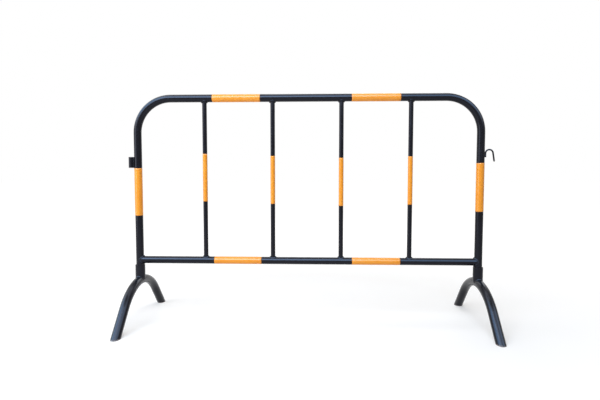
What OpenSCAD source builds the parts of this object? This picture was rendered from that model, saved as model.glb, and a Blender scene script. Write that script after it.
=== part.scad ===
// Pedestrian barrier panel: a welded tube frame with infill bars, a link hook and a link socket at its
// ends, reflective film bands, and two arched legs whose sleeves swivel on the ends of the uprights.
// Millimetres. The panel stands in the XZ plane, the ground is Z = 0 and the box is centred on X = 0.

/* [Panel] */
// Distance between the centre lines of the two uprights
upright_spacing = 1500; // [1300:10:2300]
// Height of the top rail's upper side above the ground
panel_height = 1000; // [900:10:1200]
// Centre-line radius of the two top corners
corner_radius = 150; // [60:5:180]
// Height of the bottom rail's centre line above the crowns of the legs
rail_height = 92; // [71:1:216]

/* [Frame tubes] */
// Outside diameter of the bent frame tube
frame_od = 33.7; // [28:0.1:38]
// Wall of the bent frame tube
frame_wall = 1.5; // [1:0.1:2.5]
// Outside diameter of the bottom rail
rail_od = 32; // [22:0.5:34]
// Wall of the bottom rail
rail_wall = 1.5; // [1:0.1:2.5]
// Outside diameter of the infill bars
bar_od = 20; // [12:0.5:25]
// Wall of the infill bars
bar_wall = 1.2; // [0.8:0.1:2]

/* [Legs] */
// Distance on the ground between the centre lines of a leg's two feet
foot_spread = 530; // [470:10:700]
// Height of the leg's centre line at its crown
crown_height = 176; // [150:1:195]
// Centre-line radius of the bend at the crown
crown_radius = 240; // [120:2:260]
// Outside diameter of the leg tube
leg_od = 38; // [28:0.5:42]
// Wall of the leg tube
leg_wall = 1.5; // [1:0.1:2.5]
// Wall of the sleeve that stands on the crown and takes the upright
sleeve_wall = 3.2; // [2.5:0.1:4.5]
// Running clearance all round between the upright and the sleeve
sleeve_clearance = 1.15; // [0.3:0.05:1.5]
// Clearance between the upright's end and the crown that it stands on
seat_clearance = 0.3; // [0.3:0.05:0.6]
// Gap between the sleeve's upper end and the weld under the bottom rail
sleeve_gap = 2; // [1:0.5:6]

/* [Link] */
// Diameter of the hook's round rod
hook_rod = 7; // [6:0.5:12]
// Clear width between the two legs of the hook
hook_clear = 25; // [20:1:45]
// Height of the hook's upper side above the ground
hook_top = 761; // [650:1:780]
// Straight length of the hook's welded leg
hook_root_leg = 17; // [8:1:30]
// Straight length of the hook's free leg, with its rounded tip
hook_free_leg = 39; // [28:1:60]
// Lean of the hook's free leg away from the panel, in degrees
hook_lean = 9; // [0:1:15]
// Bore of the socket that takes the next panel's hook
socket_bore = 20; // [14:0.5:26]
// Wall of the socket
socket_wall = 2.5; // [1.5:0.1:4]
// Length of the socket
socket_length = 48; // [30:1:80]
// Depth that a hook's tip drops into a socket at the same height
link_overlap = 22; // [10:1:26]

/* [Welds] */
// Leg length of the fillet welds
weld_leg = 4.5; // [3:0.5:6]
// Rise of a weld's rounded face above the straight line between its toes
weld_crown = 0.9; // [0.3:0.1:1.5]
// Gap at the root of a weld between the two pieces that it joins
root_gap = 0.3; // [0.3:0.05:0.5]
// Diameter of the beads in the grooves beside the hook and the socket
groove_bead = 5.4; // [4:0.2:7]
// Depth of a groove bead that is taken up by each of the pieces that it joins
groove_sink = 1.1; // [0.6:0.1:1.6]

/* [Film] */
// Length of each reflective band along its tube
band_length = 210; // [100:5:250]
// Thickness of the film
film = 0.3; // [0.2:0.05:0.6]
// Thickness of the adhesive under the film
adhesive = 0.05; // [0.02:0.01:0.1]
// Height of the middle of the bands on the infill bars
bar_band_height = 626; // [450:1:750]
// Height by which each bar's hand-laid band differs from that, from left to right
bar_band_shift = [10, 0, -8, -2]; // [-20:1:20]
// Distance of the two top bands from the middle of their bays, left and right
top_band_shift = [-9, -1]; // [-10:1:10]
// Distance of the two bottom bands from the middle of their bays, left and right
bottom_band_shift = [-6, 4]; // [-10:1:10]
// Gap between the lower end of the socket and the left upright's band
socket_band_gap = 2; // [1:1:60]
// Gap between the lower end of the hook's welded leg and the right upright's band
hook_band_gap = 25; // [2:1:60]

/* [Hidden] */
$fn = 96;
bar_count = len(bar_band_shift);
// Cross-sections round a weld, and points on each of them
weld_steps = 48;
section_points = 6;
// Largest angle round a main tube at which the seam of a weld on it lies
seam_angle = 76;
// Angle by which the two halves of one bend lap over each other
bend_lap = 1;
// Distance by which a cut runs past the face that it opens
past = 1;

frame_r = frame_od / 2;
rail_r = rail_od / 2;
bar_r = bar_od / 2;
leg_r = leg_od / 2;
hook_r = hook_rod / 2;
socket_r = socket_bore / 2 + socket_wall;
sleeve_bore_r = frame_r + sleeve_clearance;
sleeve_r = sleeve_bore_r + sleeve_wall;

// The link: where the hook and the socket lie, measured from their upright's axis
hook_bend = (hook_clear + hook_rod) / 2;
hook_root_x = frame_r + root_gap + hook_r;
hook_bend_z = hook_top - hook_r - hook_bend;
hook_root_end = hook_bend_z - hook_root_leg;
tip_run = hook_free_leg - hook_r;
tip_x = hook_root_x + hook_bend * (1 + cos(hook_lean)) + tip_run * sin(hook_lean);
tip_z = hook_bend_z + hook_bend * sin(hook_lean) - tip_run * cos(hook_lean);
socket_x = frame_r + root_gap + socket_r;
socket_top = tip_z - hook_r + link_overlap;
socket_foot = socket_top - socket_length;

// The panel is moved along X so that hook and socket end at equal distances from the origin
shift = (socket_x + socket_r - tip_x - hook_r) / 2;
left_x = shift - upright_spacing / 2;
right_x = shift + upright_spacing / 2;
bar_pitch = upright_spacing / (bar_count + 1);
bar_x = [for (i = [1 : bar_count]) left_x + i * bar_pitch];
band_bay_x = [bar_x[0] + bar_pitch / 2, bar_x[bar_count - 1] - bar_pitch / 2];
top_band_x = band_bay_x + top_band_shift;
bottom_band_x = band_bay_x + bottom_band_shift;
left_band_z = socket_foot - socket_band_gap - band_length / 2;
right_band_z = hook_root_end - hook_band_gap - band_length / 2;

top_z = panel_height - frame_r;
corner_z = top_z - corner_radius;
rail_z = crown_height + rail_height;
upright_foot = crown_height + leg_r + seat_clearance;
sleeve_foot = crown_height + rim(leg_r);
sleeve_top = rail_z - rail_r - weld_leg - sleeve_gap;

// A leg: the straight limbs run from the crown's bend, tangent to it, to the feet
bend_drop = crown_radius - crown_height;
foot_distance = norm([foot_spread / 2, bend_drop]);
limb_angle = atan2(foot_spread / 2, bend_drop) - acos(crown_radius / foot_distance);
limb_length = sqrt(foot_distance ^ 2 - crown_radius ^ 2);

paint = "#27252d";
film_colour = "#f9a531";

function between(a, b, share) = a + (b - a) * share;
function unit(v) = v / norm(v);

// One cross-section of a fillet weld, at an angle round a branch tube that stands along +Z on a main tube
// along X. Its points are the root, the toe on the branch, two on the rounded face, the toe on the main
// tube and one half-way back to the root. A branch wider than the main tube straddles it, and the weld then
// runs under the rim of the branch's wall.
function weld_section(angle, branch_r, main_r, bend_r) =
    let (
        b = branch_r + root_gap,
        m = main_r + root_gap,
        side = sin(angle) < 0 ? -1 : 1,
        seam = min(seam_angle, asin(min(1, b * abs(sin(angle)) / m))),
        reach = seam + weld_leg / m * abs(sin(angle)) * 180 / PI,
        half = (seam + reach) / 2,
        root = [b * cos(angle), side * m * sin(seam), m * cos(seam)],
        branch_toe = [b * cos(angle), b * sin(angle), (m + weld_leg) * cos(seam)],
        main_toe = [(b + weld_leg) * cos(angle), side * m * sin(reach), m * cos(reach)],
        main_half = [(b + weld_leg / 2) * cos(angle), side * m * sin(half), m * cos(half)],
        outward = unit([cos(angle), sin(angle) + side * sin(seam), cos(seam)]),
        face = [for (share = [1/3, 2/3]) between(branch_toe, main_toe, share) + weld_crown * outward]
    )
    [for (p = [root, branch_toe, face[0], face[1], main_toe, main_half]) bent(p, bend_r)];

// Distance from a main tube's axis at which the wall of a branch ends, unless it is coped further out
function rim(main_r) = (main_r + root_gap + weld_leg) * cos(seam_angle) + root_gap;

// A point of a straight main tube, lowered to where it lies on one bent down to a centre-line radius
function bent(p, bend_r) = bend_r > 0 ? [p.x, p.y, sqrt((bend_r + p.z) ^ 2 - p.x ^ 2) - bend_r] : p;

// A closed fillet weld round a branch tube's seat on a main tube, with the main tube's axis as X
module seat_weld(branch_r, main_r, bend_r = 0) {
    points = [
        for (i = [0 : weld_steps - 1]) each weld_section(360 * i / weld_steps, branch_r, main_r, bend_r)
    ];
    function at(i, j) = (i % weld_steps) * section_points + j % section_points;
    // A four-sided patch is split along its shorter diagonal
    function patch(a, b, c, d) =
        norm(points[a] - points[c]) <= norm(points[b] - points[d])
            ? [[a, b, c], [a, c, d]]
            : [[a, b, d], [b, c, d]];
    faces = [
        for (i = [0 : weld_steps - 1], j = [0 : section_points - 1])
            each patch(at(i, j), at(i + 1, j), at(i + 1, j + 1), at(i, j + 1))
    ];
    polyhedron(points, faces);
}

// A weld bead in each of the two grooves between an upright at the origin and a rod or tube along it
module groove_welds(other_x, other_r, low, high) {
    bead_r = groove_bead / 2;
    upright_reach = frame_r + bead_r - groove_sink;
    other_reach = other_r + bead_r - groove_sink;
    x = (other_x ^ 2 + upright_reach ^ 2 - other_reach ^ 2) / (2 * other_x);
    y = sqrt(upright_reach ^ 2 - x ^ 2);
    length = high - low;
    for (side = [-1, 1])
        difference() {
            translate([x, side * y, low]) bead(bead_r, length);
            translate([0, 0, low - past]) cylinder(r = frame_r + root_gap / 2, h = length + 2 * past);
            translate([other_x, 0, low - past]) cylinder(r = other_r + root_gap / 2, h = length + 2 * past);
        }
}

// A round-ended bead along +Z
module bead(r, length) {
    translate([0, 0, r]) cylinder(r = r, h = length - 2 * r);
    translate([0, 0, r]) sphere(r = r);
    translate([0, 0, length - r]) sphere(r = r);
}

// Lays what stands along +Z down along +X
module along_x() {
    rotate([0, 90, 0]) children();
}

// Turns what is drawn in the XY plane up into the XZ plane
module upright_plane() {
    rotate([90, 0, 0]) children();
}

module tube(od, wall, length) {
    difference() {
        cylinder(d = od, h = length);
        translate([0, 0, -past]) cylinder(d = od - 2 * wall, h = length + 2 * past);
    }
}

// The frame tube's path filled to a radius: two uprights, two bends and the top rail between them
module frame_path(r, foot) {
    for (x = [left_x, right_x])
        translate([x, 0, foot]) cylinder(r = r, h = corner_z - foot);
    translate([left_x + corner_radius, 0, corner_z]) upright_plane()
        rotate([0, 0, 90]) rotate_extrude(angle = 90) translate([corner_radius, 0]) circle(r = r);
    translate([right_x - corner_radius, 0, corner_z]) upright_plane()
        rotate_extrude(angle = 90) translate([corner_radius, 0]) circle(r = r);
    translate([left_x + corner_radius, 0, top_z]) along_x()
        cylinder(r = r, h = upright_spacing - 2 * corner_radius);
}

// The straight solids that the coped ends of rails and bars are cut to
module top_rail_core() {
    translate([left_x, 0, top_z]) along_x() cylinder(r = frame_r + root_gap, h = upright_spacing);
}

module bottom_rail_core() {
    translate([left_x, 0, rail_z]) along_x() cylinder(r = rail_r + root_gap, h = upright_spacing);
}

module upright_core(x) {
    translate([x, 0, upright_foot]) cylinder(r = frame_r + root_gap, h = corner_z - upright_foot);
}

// A leg's path in the YZ plane filled to a radius: two limbs, each with its half of the crown's bend
module leg_path(r, run_out) {
    for (turn = [0, 180])
        rotate([0, 0, turn]) translate([0, 0, crown_height - crown_radius]) rotate([limb_angle, 0, 0]) {
            rotate([0, -90, 0]) rotate_extrude(angle = limb_angle + bend_lap)
                translate([crown_radius, 0]) circle(r = r);
            translate([0, 0, crown_radius]) rotate([90, 0, 0]) cylinder(r = r, h = limb_length + run_out);
        }
}

module leg_arch(x) {
    color(paint) translate([x, 0, 0]) difference() {
        leg_path(leg_r, leg_od);
        leg_path(leg_r - leg_wall, leg_od + past);
        translate([-leg_od, -foot_spread, -2 * leg_od]) cube([2 * leg_od, 2 * foot_spread, 2 * leg_od]);
    }
}

// The sleeve straddles the crown and takes the end of the upright
module leg_sleeve(x) {
    color(paint) translate([x, 0, 0]) difference() {
        translate([0, 0, sleeve_foot]) tube(2 * sleeve_r, sleeve_wall, sleeve_top - sleeve_foot);
        leg_path(leg_r + root_gap, 0);
    }
}

module sleeve_weld(x) {
    color(paint) translate([x, 0, crown_height]) rotate([0, 0, 90])
        seat_weld(sleeve_r, leg_r, crown_radius);
}

module frame_tube() {
    color(paint) difference() {
        frame_path(frame_r, upright_foot);
        frame_path(frame_r - frame_wall, upright_foot - past);
    }
}

module bottom_rail() {
    color(paint) difference() {
        translate([left_x + rim(frame_r), 0, rail_z]) along_x()
            tube(rail_od, rail_wall, upright_spacing - 2 * rim(frame_r));
        upright_core(left_x);
        upright_core(right_x);
    }
}

module infill_bar(i) {
    color(paint) difference() {
        translate([bar_x[i - 1], 0, rail_z + rim(rail_r)])
            tube(bar_od, bar_wall, top_z - rim(frame_r) - rail_z - rim(rail_r));
        top_rail_core();
        bottom_rail_core();
    }
}

// One leg of the hook, straight down from its share of the bend
module hook_half(length, angle) {
    rotate_extrude(angle = angle) translate([hook_bend, 0]) circle(r = hook_r);
    translate([hook_bend, 0, 0]) rotate([90, 0, 0]) cylinder(r = hook_r, h = length);
}

module link_hook() {
    color(paint) translate([right_x + hook_root_x + hook_bend, 0, hook_bend_z]) upright_plane() {
        rotate([0, 180, 0]) hook_half(hook_root_leg, 90);
        rotate([0, 0, hook_lean]) {
            hook_half(tip_run, 90 - hook_lean + bend_lap);
            translate([hook_bend, -tip_run, 0]) sphere(r = hook_r);
        }
    }
}

module link_socket() {
    color(paint) translate([left_x - socket_x, 0, socket_foot])
        tube(2 * socket_r, socket_wall, socket_length);
}

module hook_welds() {
    color(paint) translate([right_x, 0, 0]) groove_welds(hook_root_x, hook_r, hook_root_end, hook_bend_z);
}

module socket_welds() {
    color(paint) translate([left_x, 0, 0]) rotate([0, 0, 180])
        groove_welds(socket_x, socket_r, socket_foot, socket_top);
}

module top_bar_welds() {
    color(paint) for (x = bar_x)
        translate([x, 0, top_z]) rotate([180, 0, 0]) seat_weld(bar_r, frame_r);
}

module bottom_bar_welds() {
    color(paint) for (x = bar_x)
        translate([x, 0, rail_z]) seat_weld(bar_r, rail_r);
}

module rail_end_welds() {
    color(paint) {
        translate([left_x, 0, rail_z]) rotate([0, 90, 0]) seat_weld(rail_r, frame_r);
        translate([right_x, 0, rail_z]) rotate([0, -90, 0]) seat_weld(rail_r, frame_r);
    }
}

// A film band wrapped round a tube along +Z, centred on the origin
module band(tube_r) {
    color(film_colour) translate([0, 0, -band_length / 2])
        tube(2 * (tube_r + adhesive + film), film, band_length);
}

module top_band(x) {
    translate([x, 0, top_z]) along_x() band(frame_r);
}

module bottom_band(x) {
    translate([x, 0, rail_z]) along_x() band(rail_r);
}

module upright_band(x, height) {
    translate([x, 0, height]) band(frame_r);
}

module bar_band(i) {
    translate([bar_x[i - 1], 0, bar_band_height + bar_band_shift[i - 1]]) band(bar_r);
}

frame_tube();
bottom_rail();
for (i = [1 : bar_count]) {
    infill_bar(i);
    bar_band(i);
}
link_hook();
link_socket();
leg_arch(left_x);  // left_leg_arch
leg_sleeve(left_x);  // left_leg_sleeve
leg_arch(right_x);  // right_leg_arch
leg_sleeve(right_x);  // right_leg_sleeve
top_bar_welds();
bottom_bar_welds();
rail_end_welds();
hook_welds();
socket_welds();
sleeve_weld(left_x);  // left_sleeve_weld
sleeve_weld(right_x);  // right_sleeve_weld
top_band(top_band_x[0]);  // top_band_left
top_band(top_band_x[1]);  // top_band_right
bottom_band(bottom_band_x[0]);  // bottom_band_left
bottom_band(bottom_band_x[1]);  // bottom_band_right
upright_band(left_x, left_band_z);  // upright_band_left
upright_band(right_x, right_band_z);  // upright_band_right
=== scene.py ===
# Looks for the pedestrian barrier panel: black enamel on steel tube, rippled welds, wrapped film bands
import math

import bmesh
import bpy
from mathutils import Matrix, Vector, noise


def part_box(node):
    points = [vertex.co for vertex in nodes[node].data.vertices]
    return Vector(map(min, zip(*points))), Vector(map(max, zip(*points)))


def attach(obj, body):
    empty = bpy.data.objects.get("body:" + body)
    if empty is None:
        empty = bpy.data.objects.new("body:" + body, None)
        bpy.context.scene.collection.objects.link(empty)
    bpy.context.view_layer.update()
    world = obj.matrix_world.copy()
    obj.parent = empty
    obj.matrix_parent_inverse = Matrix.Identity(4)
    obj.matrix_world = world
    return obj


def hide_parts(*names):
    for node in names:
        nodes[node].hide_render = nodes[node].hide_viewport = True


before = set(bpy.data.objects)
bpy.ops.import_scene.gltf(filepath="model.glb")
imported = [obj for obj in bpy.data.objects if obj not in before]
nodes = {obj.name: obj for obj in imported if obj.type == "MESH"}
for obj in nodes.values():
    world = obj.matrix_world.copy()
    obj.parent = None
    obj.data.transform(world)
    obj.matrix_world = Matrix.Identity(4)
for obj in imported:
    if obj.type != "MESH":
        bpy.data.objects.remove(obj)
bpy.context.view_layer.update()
mm = 0.001
barNames = [f"infill_bar_{count}" for count in range(1, 5)]
print("frame loaded:", len(nodes), "nodes")


# Node trees: sockets go by name or number, and a value that is itself a socket is linked
def startMaterial(name):
    material = bpy.data.materials.new(name)
    material.use_nodes = True
    tree = material.node_tree
    return material, tree, tree.nodes["Principled BSDF"]


def fillSockets(tree, node, sockets):
    for key, value in sockets.items():
        socket = node.inputs[key]
        if isinstance(value, bpy.types.NodeSocket):
            tree.links.new(value, socket)
        else:
            socket.default_value = value


def addNode(tree, kind, sockets=None, **settings):
    node = tree.nodes.new("ShaderNode" + kind)
    for key, value in settings.items():
        setattr(node, key, value)
    fillSockets(tree, node, sockets or {})
    return node


def addNoise(tree, place, scale, detail, roughness=0.55, distortion=0.0):
    sockets = {
        "Vector": place, "Scale": scale, "Detail": detail, "Roughness": roughness, "Distortion": distortion}
    return addNode(tree, "TexNoise", sockets).outputs["Fac"]


def addMath(tree, operation, first, second):
    return addNode(tree, "Math", {0: first, 1: second}, operation=operation, use_clamp=True).outputs[0]


def addRange(tree, value, fromLow, fromHigh, toLow=0.0, toHigh=1.0):
    sockets = {"Value": value, "From Min": fromLow, "From Max": fromHigh, "To Min": toLow, "To Max": toHigh}
    return addNode(tree, "MapRange", sockets, clamp=True).outputs["Result"]


# the Mix node repeats its socket names for each kind of data, so the colour sockets go by number
def addMix(tree, share, first, second):
    first, second = ((*end, 1) if isinstance(end, tuple) else end for end in (first, second))
    return addNode(tree, "Mix", {0: share, 6: first, 7: second}, data_type="RGBA").outputs[2]


def splitVector(tree, vector):
    return addNode(tree, "SeparateXYZ", {0: vector}).outputs


# a mask from one of a finish's noises, spread out between two of its levels
def addMask(tree, place, finish, name, low=0.0, high=1.0):
    return addRange(tree, addNoise(tree, place, *finish[name]), *finish[name + "Spread"], low, high)


# Black enamel, brushed on thick: soft orange peel, a trace of dust on top, knocks down to primer and steel.
# Noises are scale, detail, roughness and distortion
enamel = {
    "deepColour": (0.0030, 0.0026, 0.0036),
    "thinColour": (0.0050, 0.0044, 0.0060),
    "dustColour": (0.090, 0.088, 0.090),
    "primerColour": (0.050, 0.047, 0.046),
    "steelColour": (0.240, 0.225, 0.210),
    "rustColour": (0.090, 0.040, 0.018),
    "specular": 0.25,
    "paintedSkyTint": (0.80, 0.83, 1.0, 1),  # painted reflection: a blue tint on every reflection of the enamel, standing in for blue sky light
    "drift": (7.0, 5.0),
    "driftSpread": (0.35, 0.65),
    "grit": (60.0, 6.0, 0.65),
    "gritSpread": (0.38, 0.70),
    "dustSlope": (0.25, 0.95),  # how far up a surface faces before dust lies on it
    "dustMost": 0.07,
    "chips": (85.0, 2.0, 0.5, 1.2),
    "chipEdge": 0.03,
    "rub": (240.0, 4.0, 0.6),
    "rubSpread": (0.30, 0.42),
    "stain": (420.0, 3.0),
    "stainSpread": (0.42, 0.62),
    "brush": (24.0, 3.0),
    "brushSpread": (0.3, 0.7),
    "gloss": (0.15, 0.27),  # roughness, from smooth to brushed
    "dulling": 0.32,  # more roughness where there is dust, primer or bare metal
    "peel": (620.0, 2.0),
    "peelStrength": 0.03,
    "peelDepth": 0.4 * mm,
    "wave": (30.0, 2.0),
    "waveStrength": 0.05,
    "waveDepth": 1.5 * mm,
}


# knocks is the noise level where paint chips off; each wear runs from sound paint's height to bare metal's
def makeEnamel(name, knocks, wear=()):
    material, tree, shader = startMaterial(name)
    place = addNode(tree, "TexCoord").outputs["Object"]
    height = splitVector(tree, place)["Z"]
    upward = splitVector(tree, addNode(tree, "NewGeometry").outputs["Normal"])["Z"]
    drift = addMask(tree, place, enamel, "drift")
    colour = addMix(tree, drift, enamel["deepColour"], enamel["thinColour"])
    lying = addRange(tree, upward, *enamel["dustSlope"], 0.0, enamel["dustMost"])
    dust = addMath(tree, "MULTIPLY", addMask(tree, place, enamel, "grit"), lying)
    colour = addMix(tree, dust, colour, enamel["dustColour"])
    chips = addRange(tree, addNoise(tree, place, *enamel["chips"]), knocks, knocks + enamel["chipEdge"])
    colour = addMix(tree, chips, colour, enamel["primerColour"])
    dull = addMath(tree, "ADD", dust, chips)
    for soundHeight, bareHeight in wear:
        nearness = addRange(tree, height, soundHeight, bareHeight)
        rubbed = addMath(tree, "MULTIPLY", nearness, addNoise(tree, place, *enamel["rub"]))
        bare = addRange(tree, rubbed, *enamel["rubSpread"])
        stain = addMask(tree, place, enamel, "stain")
        metal = addMix(tree, stain, enamel["steelColour"], enamel["rustColour"])
        colour = addMix(tree, bare, colour, metal)
        dull = addMath(tree, "ADD", dull, bare)
    gloss = addMask(tree, place, enamel, "brush", *enamel["gloss"])
    rough = addMath(tree, "ADD", gloss, addRange(tree, dull, 0.0, 1.0, 0.0, enamel["dulling"]))
    peel = addNode(tree, "Bump", {
        "Height": addNoise(tree, place, *enamel["peel"]),
        "Strength": enamel["peelStrength"], "Distance": enamel["peelDepth"]})
    wave = addNode(tree, "Bump", {
        "Height": addNoise(tree, place, *enamel["wave"]), "Normal": peel.outputs["Normal"],
        "Strength": enamel["waveStrength"], "Distance": enamel["waveDepth"]})
    # Specular Tint carries the painted sky reflection, which tints all of the enamel's reflections blue
    fillSockets(tree, shader, {
        "Base Color": colour, "Roughness": rough, "Normal": wave.outputs["Normal"],
        "Specular IOR Level": enamel["specular"], "Specular Tint": enamel["paintedSkyTint"]})
    return material


# Yellow-orange reflective film: clear gloss over fine glass beads, grime along its cut edges
sheeting = {
    "bodyColour": (0.870, 0.286, 0.016),
    "fadedColour": (0.900, 0.318, 0.022),
    "beadColour": (0.70, 0.25, 0.02),
    "grimeColour": (0.420, 0.150, 0.025),
    "fade": (11.0, 4.0),
    "fadeSpread": (0.35, 0.65),
    "beadScale": 1500.0,
    "beadSpread": (0.15, 0.75),
    "beadMost": 0.14,
    "beadStrength": 0.04,
    "beadDepth": 0.2 * mm,
    "edgeWidth": 2.2 * mm,
    "edge": (260.0, 4.0, 0.7),
    "edgeSpread": (0.15, 0.60),
    "edgeMost": 0.55,
    "specks": (150.0, 3.0, 0.5, 0.6),
    "specksSpread": (0.73, 0.79),
    "specksMost": 0.45,
    "haze": (40.0, 4.0),
    "hazeSpread": (0.3, 0.7),
    "gloss": (0.20, 0.30),  # roughness, from clear to hazy
    "specular": 0.35,
    "coat": 0.18,
    "coatRoughness": 0.12,
}


def makeFilm(name):
    material, tree, shader = startMaterial(name)
    place = addNode(tree, "TexCoord").outputs["Object"]
    fade = addMask(tree, place, sheeting, "fade")
    colour = addMix(tree, fade, sheeting["bodyColour"], sheeting["fadedColour"])
    beads = addNode(tree, "TexVoronoi", {"Vector": place, "Scale": sheeting["beadScale"]}).outputs["Distance"]
    sparkle = addRange(tree, beads, *sheeting["beadSpread"], 0.0, sheeting["beadMost"])
    colour = addMix(tree, sparkle, colour, sheeting["beadColour"])
    toEdge = addNode(tree, "Attribute", attribute_name="edgeDistance").outputs["Fac"]
    near = addRange(tree, toEdge, 0.0, sheeting["edgeWidth"], 1.0, 0.0)
    ragged = addMath(tree, "MULTIPLY", near, addNoise(tree, place, *sheeting["edge"]))
    dirt = addRange(tree, ragged, *sheeting["edgeSpread"], 0.0, sheeting["edgeMost"])
    colour = addMix(tree, dirt, colour, sheeting["grimeColour"])
    specks = addMask(tree, place, sheeting, "specks", 0.0, sheeting["specksMost"])
    colour = addMix(tree, specks, colour, sheeting["grimeColour"])
    rough = addMask(tree, place, sheeting, "haze", *sheeting["gloss"])
    bump = addNode(tree, "Bump", {
        "Height": beads, "Strength": sheeting["beadStrength"], "Distance": sheeting["beadDepth"]})
    fillSockets(tree, shader, {
        "Base Color": colour, "Roughness": rough, "Normal": bump.outputs["Normal"],
        "Specular IOR Level": sheeting["specular"], "Coat Weight": sheeting["coat"],
        "Coat Roughness": sheeting["coatRoughness"]})
    return material


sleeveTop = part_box("left_leg_sleeve")[1].z
socketLow, socketHigh = (corner.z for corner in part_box("link_socket"))
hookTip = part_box("link_hook")[0].z
enamelKinds = {
    "frameEnamel": {"knocks": 0.76},
    "weldEnamel": {"knocks": 0.72},
    "legEnamel": {"knocks": 0.73, "wear": [(12 * mm, 0.0)]},
    "sleeveEnamel": {"knocks": 0.73, "wear": [(sleeveTop - 1.5 * mm, sleeveTop + 1.0 * mm)]},
    "socketEnamel": {
        "knocks": 0.72, "wear": [(socketHigh - 3 * mm, socketHigh), (socketLow + 2 * mm, socketLow)]},
    "hookEnamel": {"knocks": 0.70, "wear": [(hookTip + 12 * mm, hookTip)]},
}
enamels = {name: makeEnamel(name, **kind) for name, kind in enamelKinds.items()}
filmFinish = makeFilm("reflectiveFilm")
print("finishes made:", len(bpy.data.materials))


def putFinish(piece, material):
    piece.data.materials.clear()
    piece.data.materials.append(material)


tubeFinishes = {
    "frame_tube": "frameEnamel",
    "bottom_rail": "frameEnamel",
    "link_hook": "hookEnamel",
    "link_socket": "socketEnamel",
    "left_leg_arch": "legEnamel",
    "right_leg_arch": "legEnamel",
    "left_leg_sleeve": "sleeveEnamel",
    "right_leg_sleeve": "sleeveEnamel",
    **dict.fromkeys(barNames, "frameEnamel"),
}
for nodeName, finishName in tubeFinishes.items():
    putFinish(nodes[nodeName], enamels[finishName])
print("tubes finished:", len(tubeFinishes))


def meshObject(bm, name):
    mesh = bpy.data.meshes.new(name)
    bm.to_mesh(mesh)
    bm.free()
    made = bpy.data.objects.new(name, mesh)
    bpy.context.scene.collection.objects.link(made)
    return made


# A bmesh becomes a piece at the origin, smooth-shaded, on its body and in place of its CAD node
def finishPiece(bm, name, body, node, material):
    piece = meshObject(bm, name)
    piece.data.polygons.foreach_set("use_smooth", [True] * len(piece.data.polygons))
    putFinish(piece, material)
    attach(piece, body)
    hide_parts(node)
    return piece


def clamp(value):
    return min(1.0, max(0.0, value))


def smoothStep(value):
    value = clamp(value)
    return value * value * (3 - 2 * value)


# 0 up to the last of so many equal parts of a run, and from there up to 1 at its end
def nearEnd(share, parts):
    return smoothStep(1 - (1 - share) * parts)


# Film bands: a flat sheet rolled round its tube, with a lap at the back and hand-cut ends
film = {
    "thickness": 0.3 * mm,
    "sheetShare": 0.8,  # of that thickness, the rest is glue and air
    "lap": 11 * mm,
    "lapStep": 1.15,  # how many thicknesses the lap stands off
    "ramp": 3.0 * mm,
    "lift": 0.55 * mm,
    "liftRun": 5 * mm,
    "liftAlong": 15 * mm,
    "liftMiddle": 0.25,  # share of the lift that is left between the corners
    "ripple": 0.30 * mm,
    "rippleScale": (40, 30),  # round the tube and along it
    "cut": 0.55 * mm,
    "cutScale": 55,
    "cutSide": 3,  # keeps the noise of the two ends apart
    "cutParts": 8,
    "around": 72,
    "along": 44,
}
# each band's CAD node, and where its lap starts round the tube, in degrees
filmBands = {
    "filmTopLeft": ("top_band_left", 68),
    "filmTopRight": ("top_band_right", 59),
    "filmBottomLeft": ("bottom_band_left", 76),
    "filmBottomRight": ("bottom_band_right", 64),
    "filmUprightLeft": ("upright_band_left", 74),
    "filmUprightRight": ("upright_band_right", 110),
    "filmBar1": ("bar_band_1", 96),
    "filmBar2": ("bar_band_2", 82),
    "filmBar3": ("bar_band_3", 101),
    "filmBar4": ("bar_band_4", 88),
}


def wrapFilm(name, node, seamTurn):
    low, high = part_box(node)
    size, centre = high - low, (low + high) / 2
    length = max(size.x, size.z)
    radius = min(size) / 2
    wrap = 2 * math.pi * radius + film["lap"]
    lapStart = wrap - film["lap"] - film["ramp"]
    aroundScale, alongScale = film["rippleScale"]
    bm = bmesh.new()
    bmesh.ops.create_grid(bm, x_segments=film["around"], y_segments=film["along"], size=0.5)
    edgeLayer = bm.verts.layers.float.new("edgeDistance")
    for vert in bm.verts:
        run = (vert.co.x + 0.5) * wrap
        rise = vert.co.y * length
        toEnd = length / 2 - abs(rise)
        toLap = wrap - run
        vert[edgeLayer] = min(toEnd, toLap)
        overlap = smoothStep((run - lapStart) / film["ramp"])
        corner = smoothStep(1 - toEnd / film["liftAlong"])
        peel = smoothStep(1 - toLap / film["liftRun"])
        peel *= film["liftMiddle"] + (1 - film["liftMiddle"]) * corner
        out = radius + overlap * film["thickness"] * film["lapStep"] + peel * film["lift"]
        crease = noise.noise(Vector((run * aroundScale, rise * alongScale, seamTurn)))
        out += film["ripple"] * crease * overlap * (1 - overlap)
        uneven = noise.noise(Vector((run * film["cutScale"], seamTurn, math.copysign(film["cutSide"], rise))))
        uneven *= film["cut"] * nearEnd(abs(rise) / (length / 2), film["cutParts"])
        rise += math.copysign(uneven, rise)
        turn = math.radians(seamTurn) + run / radius
        vert.co = Vector((out * math.cos(turn), out * math.sin(turn), rise))
    bm.normal_update()  # rolled this way round, the sheet's upper side faces outwards
    if size.x > size.z:  # a rail's band lies along X
        along = Matrix.Rotation(math.radians(90), 3, "Y")
        bmesh.ops.rotate(bm, verts=bm.verts[:], cent=(0, 0, 0), matrix=along)
    bmesh.ops.translate(bm, verts=bm.verts[:], vec=centre)
    piece = finishPiece(bm, name, "frame", node, filmFinish)
    skin = piece.modifiers.new("thickness", "SOLIDIFY")
    skin.thickness = film["thickness"] * film["sheetShare"]
    skin.offset = -1


for pieceName, (nodeName, seamTurn) in filmBands.items():
    wrapFilm(pieceName, nodeName, seamTurn)
print("film bands wrapped:", len(filmBands))


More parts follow.
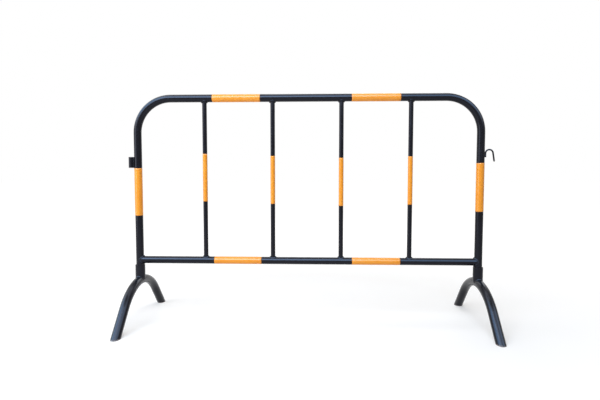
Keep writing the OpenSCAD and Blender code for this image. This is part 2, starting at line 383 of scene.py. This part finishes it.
# Seat welds: copies of the fillets, divided, sunk at their toes and rippled as a hand-run bead freezes
bead = {
    "merge": 0.01 * mm,
    "cuts": 3,
    "touching": 0.45 * mm,  # verts nearer than this to a tube lie on it, the rest are the bead's face
    "sink": 0.55 * mm,
    "smoothRounds": 3,
    "smoothFactor": 0.5,
    "pitch": 2.5 * mm,
    "height": 0.50 * mm,
    "bow": 0.35,  # how far a ripple lags at the bead's edges, in pitches
    "toe": 1.2 * mm,  # ripples grow to full height over this distance from a tube
    "wander": 0.30 * mm,
    "wanderScale": 170,
    "stopLump": 0.7 * mm,
    "stopTurn": 0.22,  # turns are in radians
    "stopFirst": 0.9,
    "stopNext": 2.4,
    "crownBend": 240 * mm,
}
ripple = {
    "crest": 0.6,  # below 1, crests are broad and valleys narrow
    "level": 0.6,  # taken off, so that a bead keeps its size
}


def middleOf(node):
    low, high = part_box(node)
    return (low + high) / 2


def radiusOf(node):
    low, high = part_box(node)
    return min(high - low) / 2


def tube(node, along, middle=None):
    return {"along": along, "middle": middle or middleOf(node), "radius": radiusOf(node)}


# Distance from a tube's skin, and the direction straight off it; a crown is bent about the X axis
def offTube(point, pipe):
    off = point - pipe["middle"]
    if pipe["along"] == "crown":
        off.x = 0
        off = point - pipe["middle"] - off.normalized() * bead["crownBend"]
    else:
        setattr(off, pipe["along"], 0)
    return off.length - pipe["radius"], off.normalized()


frameLow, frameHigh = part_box("frame_tube")
frameRadius = radiusOf("frame_tube")
topRail = tube("frame_tube", "x", Vector((0, 0, frameHigh.z - frameRadius)))
bottomRail = tube("bottom_rail", "x")
bars = [tube(barName, "z") for barName in barNames]
uprightPlaces = (frameLow.x + frameRadius, frameHigh.x - frameRadius)
uprights = [tube("frame_tube", "z", Vector((x, 0, 0))) for x in uprightPlaces]


def crownSeat(side):
    arch = f"{side}_leg_arch"
    crown = middleOf(arch)
    crown.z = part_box(arch)[1].z - radiusOf(arch) - bead["crownBend"]
    return [(tube(f"{side}_leg_sleeve", "z"), tube(arch, "crown", crown))]


# each seat is a branch tube and the main tube that it stands on
seatWelds = {
    "weldsBarTops": ("top_bar_welds", "frame", [(bar, topRail) for bar in bars]),
    "weldsBarFeet": ("bottom_bar_welds", "frame", [(bar, bottomRail) for bar in bars]),
    "weldsRailEnds": ("rail_end_welds", "frame", [(bottomRail, upright) for upright in uprights]),
    "weldSleeveLeft": ("left_sleeve_weld", "left_leg", crownSeat("left")),
    "weldSleeveRight": ("right_sleeve_weld", "right_leg", crownSeat("right")),
}


# the upright one of a seat's two tubes tells which seat a point is at
def nearestSeat(point, seats):
    standing = [main if branch is bottomRail else branch for branch, main in seats]
    away = [abs(point.x - pipe["middle"].x) for pipe in standing]
    return away.index(min(away))


def frozenRipple(run):
    return abs(math.sin(math.pi * run)) ** ripple["crest"] - ripple["level"]


def rippleAt(branch, off, across, stop):
    turn = math.atan2(off.y, off.x) if branch["along"] == "z" else math.atan2(off.z, off.y)
    count = round(2 * math.pi * (branch["radius"] + bead["pitch"]) / bead["pitch"])
    frozen = frozenRipple(turn / (2 * math.pi) * count + bead["bow"] * across * across)
    fromStop = math.remainder(turn - stop, 2 * math.pi) / bead["stopTurn"]
    return bead["height"] * frozen + bead["stopLump"] * math.exp(-fromStop * fromStop)


def runSeatWelds(name, node, body, seats):
    bm = bmesh.new()
    bm.from_mesh(nodes[node].data)
    bmesh.ops.remove_doubles(bm, verts=bm.verts[:], dist=bead["merge"])
    bmesh.ops.subdivide_edges(bm, edges=bm.edges[:], cuts=bead["cuts"], use_grid_fill=True)
    face = []
    for vert in bm.verts:
        seat = nearestSeat(vert.co, seats)
        gaps = [offTube(vert.co, pipe) for pipe in seats[seat]]
        touches = [off for gap, off in gaps if gap < bead["touching"]]
        for off in touches:
            vert.co -= off * bead["sink"]
        if not touches:
            face.append((vert, seat))
    for _ in range(bead["smoothRounds"]):
        bmesh.ops.smooth_vert(
            bm, verts=[vert for vert, seat in face], factor=bead["smoothFactor"],
            use_axis_x=True, use_axis_y=True, use_axis_z=True)
    bm.normal_update()
    for vert, seat in face:
        branch, main = seats[seat]
        branchGap, off = offTube(vert.co, branch)
        mainGap = offTube(vert.co, main)[0]
        across = (mainGap - branchGap) / max(mm, mainGap + branchGap)
        stop = seat * bead["stopNext"] + bead["stopFirst"]
        rise = rippleAt(branch, off, across, stop)
        rise += bead["wander"] * noise.noise(vert.co * bead["wanderScale"])
        vert.co += vert.normal * rise * clamp(min(branchGap, mainGap) / bead["toe"])
    bmesh.ops.recalc_face_normals(bm, faces=bm.faces[:])
    finishPiece(bm, name, body, node, enamels["weldEnamel"])


for pieceName, (nodeName, body, seats) in seatWelds.items():
    runSeatWelds(pieceName, nodeName, body, seats)
print("seat welds run:", len(seatWelds))


# Groove welds: a bead down each side of the hook's leg and of the socket
groove = {
    "sides": 18,
    "rings": 60,
    "depth": 0.33,  # half the bead's depth, as a share of its reach from the panel's plane
    "pitch": 2.3 * mm,
    "ripple": 0.16,
    "bow": 0.3,
    "wander": 0.10,
    "wanderStep": 0.7,
    "endTaper": 0.5,
    "endParts": 8,
}
grooveWelds = {
    "weldsHook": "hook_welds",
    "weldsSocket": "socket_welds",
}


def runGrooveWelds(name, node):
    low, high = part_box(node)
    middle, size = (low + high) / 2, high - low
    half = high.y * groove["depth"]
    bm = bmesh.new()
    bmesh.ops.create_cone(bm, cap_ends=True, segments=groove["sides"], radius1=1, radius2=1, depth=1)
    lengthwise = [edge for edge in bm.edges if abs(edge.verts[0].co.z - edge.verts[1].co.z) > 0.5]
    bmesh.ops.subdivide_edges(bm, edges=lengthwise, cuts=groove["rings"])
    for vert in bm.verts:
        run = vert.co.z * size.z / groove["pitch"]
        frozen = frozenRipple(run + groove["bow"] * vert.co.x * vert.co.x)
        drift = noise.noise(Vector((run * groove["wanderStep"], vert.co.x, middle.x)))
        swell = 1 + groove["ripple"] * frozen + groove["wander"] * drift
        swell *= 1 - groove["endTaper"] * nearEnd(abs(vert.co.z) * 2, groove["endParts"])
        vert.co.x *= swell * size.x / 2
        vert.co.y = high.y - half + vert.co.y * swell * half
        vert.co.z *= size.z
    whole = bm.verts[:] + bm.edges[:] + bm.faces[:]
    bmesh.ops.mirror(bm, geom=whole, axis="Y", merge_dist=-1)  # -1 keeps the two beads apart
    bmesh.ops.translate(bm, verts=bm.verts[:], vec=middle)
    bmesh.ops.recalc_face_normals(bm, faces=bm.faces[:])
    finishPiece(bm, name, "frame", node, enamels["weldEnamel"])


for pieceName, nodeName in grooveWelds.items():
    runGrooveWelds(pieceName, nodeName)
print("groove welds run:", len(grooveWelds))


# Studio: pale floor, white surround, four softboxes, and a room and a sky that only reflections show
studio = {
    "floorHalf": 30.0,
    "floorColour": (0.74, 0.69, 0.64, 1),
    "floorRoughness": 0.9,
    "nearLift": 0.29,
    "farDim": 0.15,  # what the lamps still give the far floor, so that it meets the wall without a seam
    "liftReach": (0.9, 3.8),
    "surround": 0.24,
    "wall": (0.55, 1.0),  # the room at the front, and the wall behind the panel
    "wallTurn": (0.10, 0.70),
    "sky": 8.5,  # wide and cool, above the room at the front
    "skyColour": (0.42, 0.70, 1.0),
    "skySide": (-0.26, -0.97, 0.0),
    "skyTurn": (-0.3, 0.3),
    "skyRise": (0.18, 0.45),
    "skyFade": (0.75, 0.95),
}
lamps = {
    "frontSoftbox": {
        "place": (-0.9, -2.4, 2.7), "aim": (-0.15, 0, 0.5), "size": (3.4, 2.2),
        "glow": 5.7, "colour": (0.68, 0.82, 1.0)},
    "overheadSoftbox": {
        "place": (-0.3, 0.4, 2.9), "aim": (-0.3, 0.3, 0), "size": (3.0, 1.2),
        "glow": 2.3, "colour": (0.90, 0.95, 1.0)},
    "backSoftbox": {
        "place": (0.9, 2.6, 2.3), "aim": (0, 0, 0.5), "size": (3.0, 1.4),
        "glow": 2.4, "colour": (0.90, 0.95, 1.0)},
    "sideSoftbox": {
        "place": (-2.5, -1.4, 1.0), "aim": (0.2, 0, 0.6), "size": (1.8, 1.7),
        "glow": 3.0, "colour": (0.90, 0.95, 1.0)},
}


# 1 for the rays that look straight at the background
def straightRays(tree):
    return addNode(tree, "LightPath").outputs["Is Camera Ray"]


# 1 for the rays that see it mirrored or through glass
def mirroredRays(tree):
    seen = addNode(tree, "LightPath").outputs
    return addMath(tree, "MAXIMUM", seen["Is Glossy Ray"], seen["Is Transmission Ray"])


def shownRays(tree):
    return addMath(tree, "MAXIMUM", straightRays(tree), mirroredRays(tree))


# white wherever it is looked at, and dimmer towards the front where it is mirrored
def wallLevel(tree, ahead):
    towardsWall = addRange(tree, splitVector(tree, ahead)["Y"], *studio["wallTurn"])
    white = addMath(tree, "MAXIMUM", straightRays(tree), towardsWall)
    return addRange(tree, white, 0.0, 1.0, *studio["wall"])


def skyShare(tree, ahead):
    height = splitVector(tree, ahead)["Z"]
    rising = addRange(tree, height, *studio["skyRise"])
    fading = addRange(tree, height, *studio["skyFade"], 1.0, 0.0)
    sides = {0: ahead, 1: studio["skySide"]}
    towardsSky = addNode(tree, "VectorMath", sides, operation="DOT_PRODUCT").outputs["Value"]
    facing = addRange(tree, towardsSky, *studio["skyTurn"])
    return addMath(tree, "MULTIPLY", addMath(tree, "MULTIPLY", rising, fading), facing)


def makeFloor():
    bm = bmesh.new()
    bmesh.ops.create_grid(bm, x_segments=2, y_segments=2, size=studio["floorHalf"])
    floor = meshObject(bm, "floor")
    material, tree, shader = startMaterial("paleFloor")
    place = addNode(tree, "TexCoord").outputs["Object"]
    away = addNode(tree, "VectorMath", {0: place}, operation="LENGTH").outputs["Value"]
    ahead = addNode(tree, "VectorMath", {0: place}, operation="NORMALIZE").outputs["Vector"]
    farLift = addMath(tree, "SUBTRACT", wallLevel(tree, ahead), studio["farDim"])
    rising = addRange(tree, away, *studio["liftReach"], studio["nearLift"], farLift)
    lift = addMath(tree, "MULTIPLY", shownRays(tree), rising)
    fillSockets(tree, shader, {
        "Base Color": studio["floorColour"], "Roughness": studio["floorRoughness"], "Specular IOR Level": 0.0,
        "Emission Color": (1, 1, 1, 1), "Emission Strength": lift})
    putFinish(floor, material)


def makeSurround():
    world = bpy.data.worlds.new("surround")
    bpy.context.scene.world = world
    world.use_nodes = True
    tree = world.node_tree
    ahead = addNode(tree, "TexCoord").outputs["Generated"]
    sky = addMath(tree, "MULTIPLY", mirroredRays(tree), skyShare(tree, ahead))
    level = addRange(tree, sky, 0.0, 1.0, wallLevel(tree, ahead), studio["sky"])
    strength = addRange(tree, shownRays(tree), 0.0, 1.0, studio["surround"], level)
    colour = addMix(tree, sky, (1, 1, 1), studio["skyColour"])
    fillSockets(tree, tree.nodes["Background"], {"Color": colour, "Strength": strength})


# glow is the radiance of the softbox's face
def makeLamp(name, spec):
    data = bpy.data.lights.new(name, "AREA")
    data.shape = "RECTANGLE"
    data.size, data.size_y = spec["size"]
    data.energy = spec["glow"] * math.pi * data.size * data.size_y
    data.color = spec["colour"]
    lamp = bpy.data.objects.new(name, data)
    lamp.location = spec["place"]
    aim = Vector(spec["aim"]) - Vector(spec["place"])
    lamp.rotation_euler = aim.to_track_quat("-Z", "Y").to_euler()
    lamp.visible_camera = False
    bpy.context.scene.collection.objects.link(lamp)


makeFloor()
makeSurround()
for lampName, spec in lamps.items():
    makeLamp(lampName, spec)
bpy.context.scene.view_settings.view_transform = "Standard"
print("studio lit:", len(lamps), "lamps")


# Camera: solved from the photograph's 600 by 400 frame, angles in degrees
camera = {
    "place": (0.0352, -1.9908, 0.6550),
    "yaw": 2.160,
    "pitch": -3.363,
    "roll": -0.007,
    "focalPixels": 452.8,
    "frameWidth": 600,
    "sensor": 36.0,
}


def turned(degrees, axis):
    return Matrix.Rotation(math.radians(degrees), 4, axis)


def makeCamera():
    data = bpy.data.cameras.new("camera")
    data.sensor_fit = "HORIZONTAL"
    data.sensor_width = camera["sensor"]
    data.lens = camera["sensor"] * camera["focalPixels"] / camera["frameWidth"]
    holder = bpy.data.objects.new("camera", data)
    level = turned(90, "X")  # a camera's own rest looks straight down
    turn = turned(camera["yaw"], "Z") @ turned(camera["pitch"], "X") @ turned(camera["roll"], "Y") @ level
    holder.matrix_world = Matrix.Translation(camera["place"]) @ turn
    bpy.context.scene.collection.objects.link(holder)
    bpy.context.scene.camera = holder


makeCamera()
print("camera set")
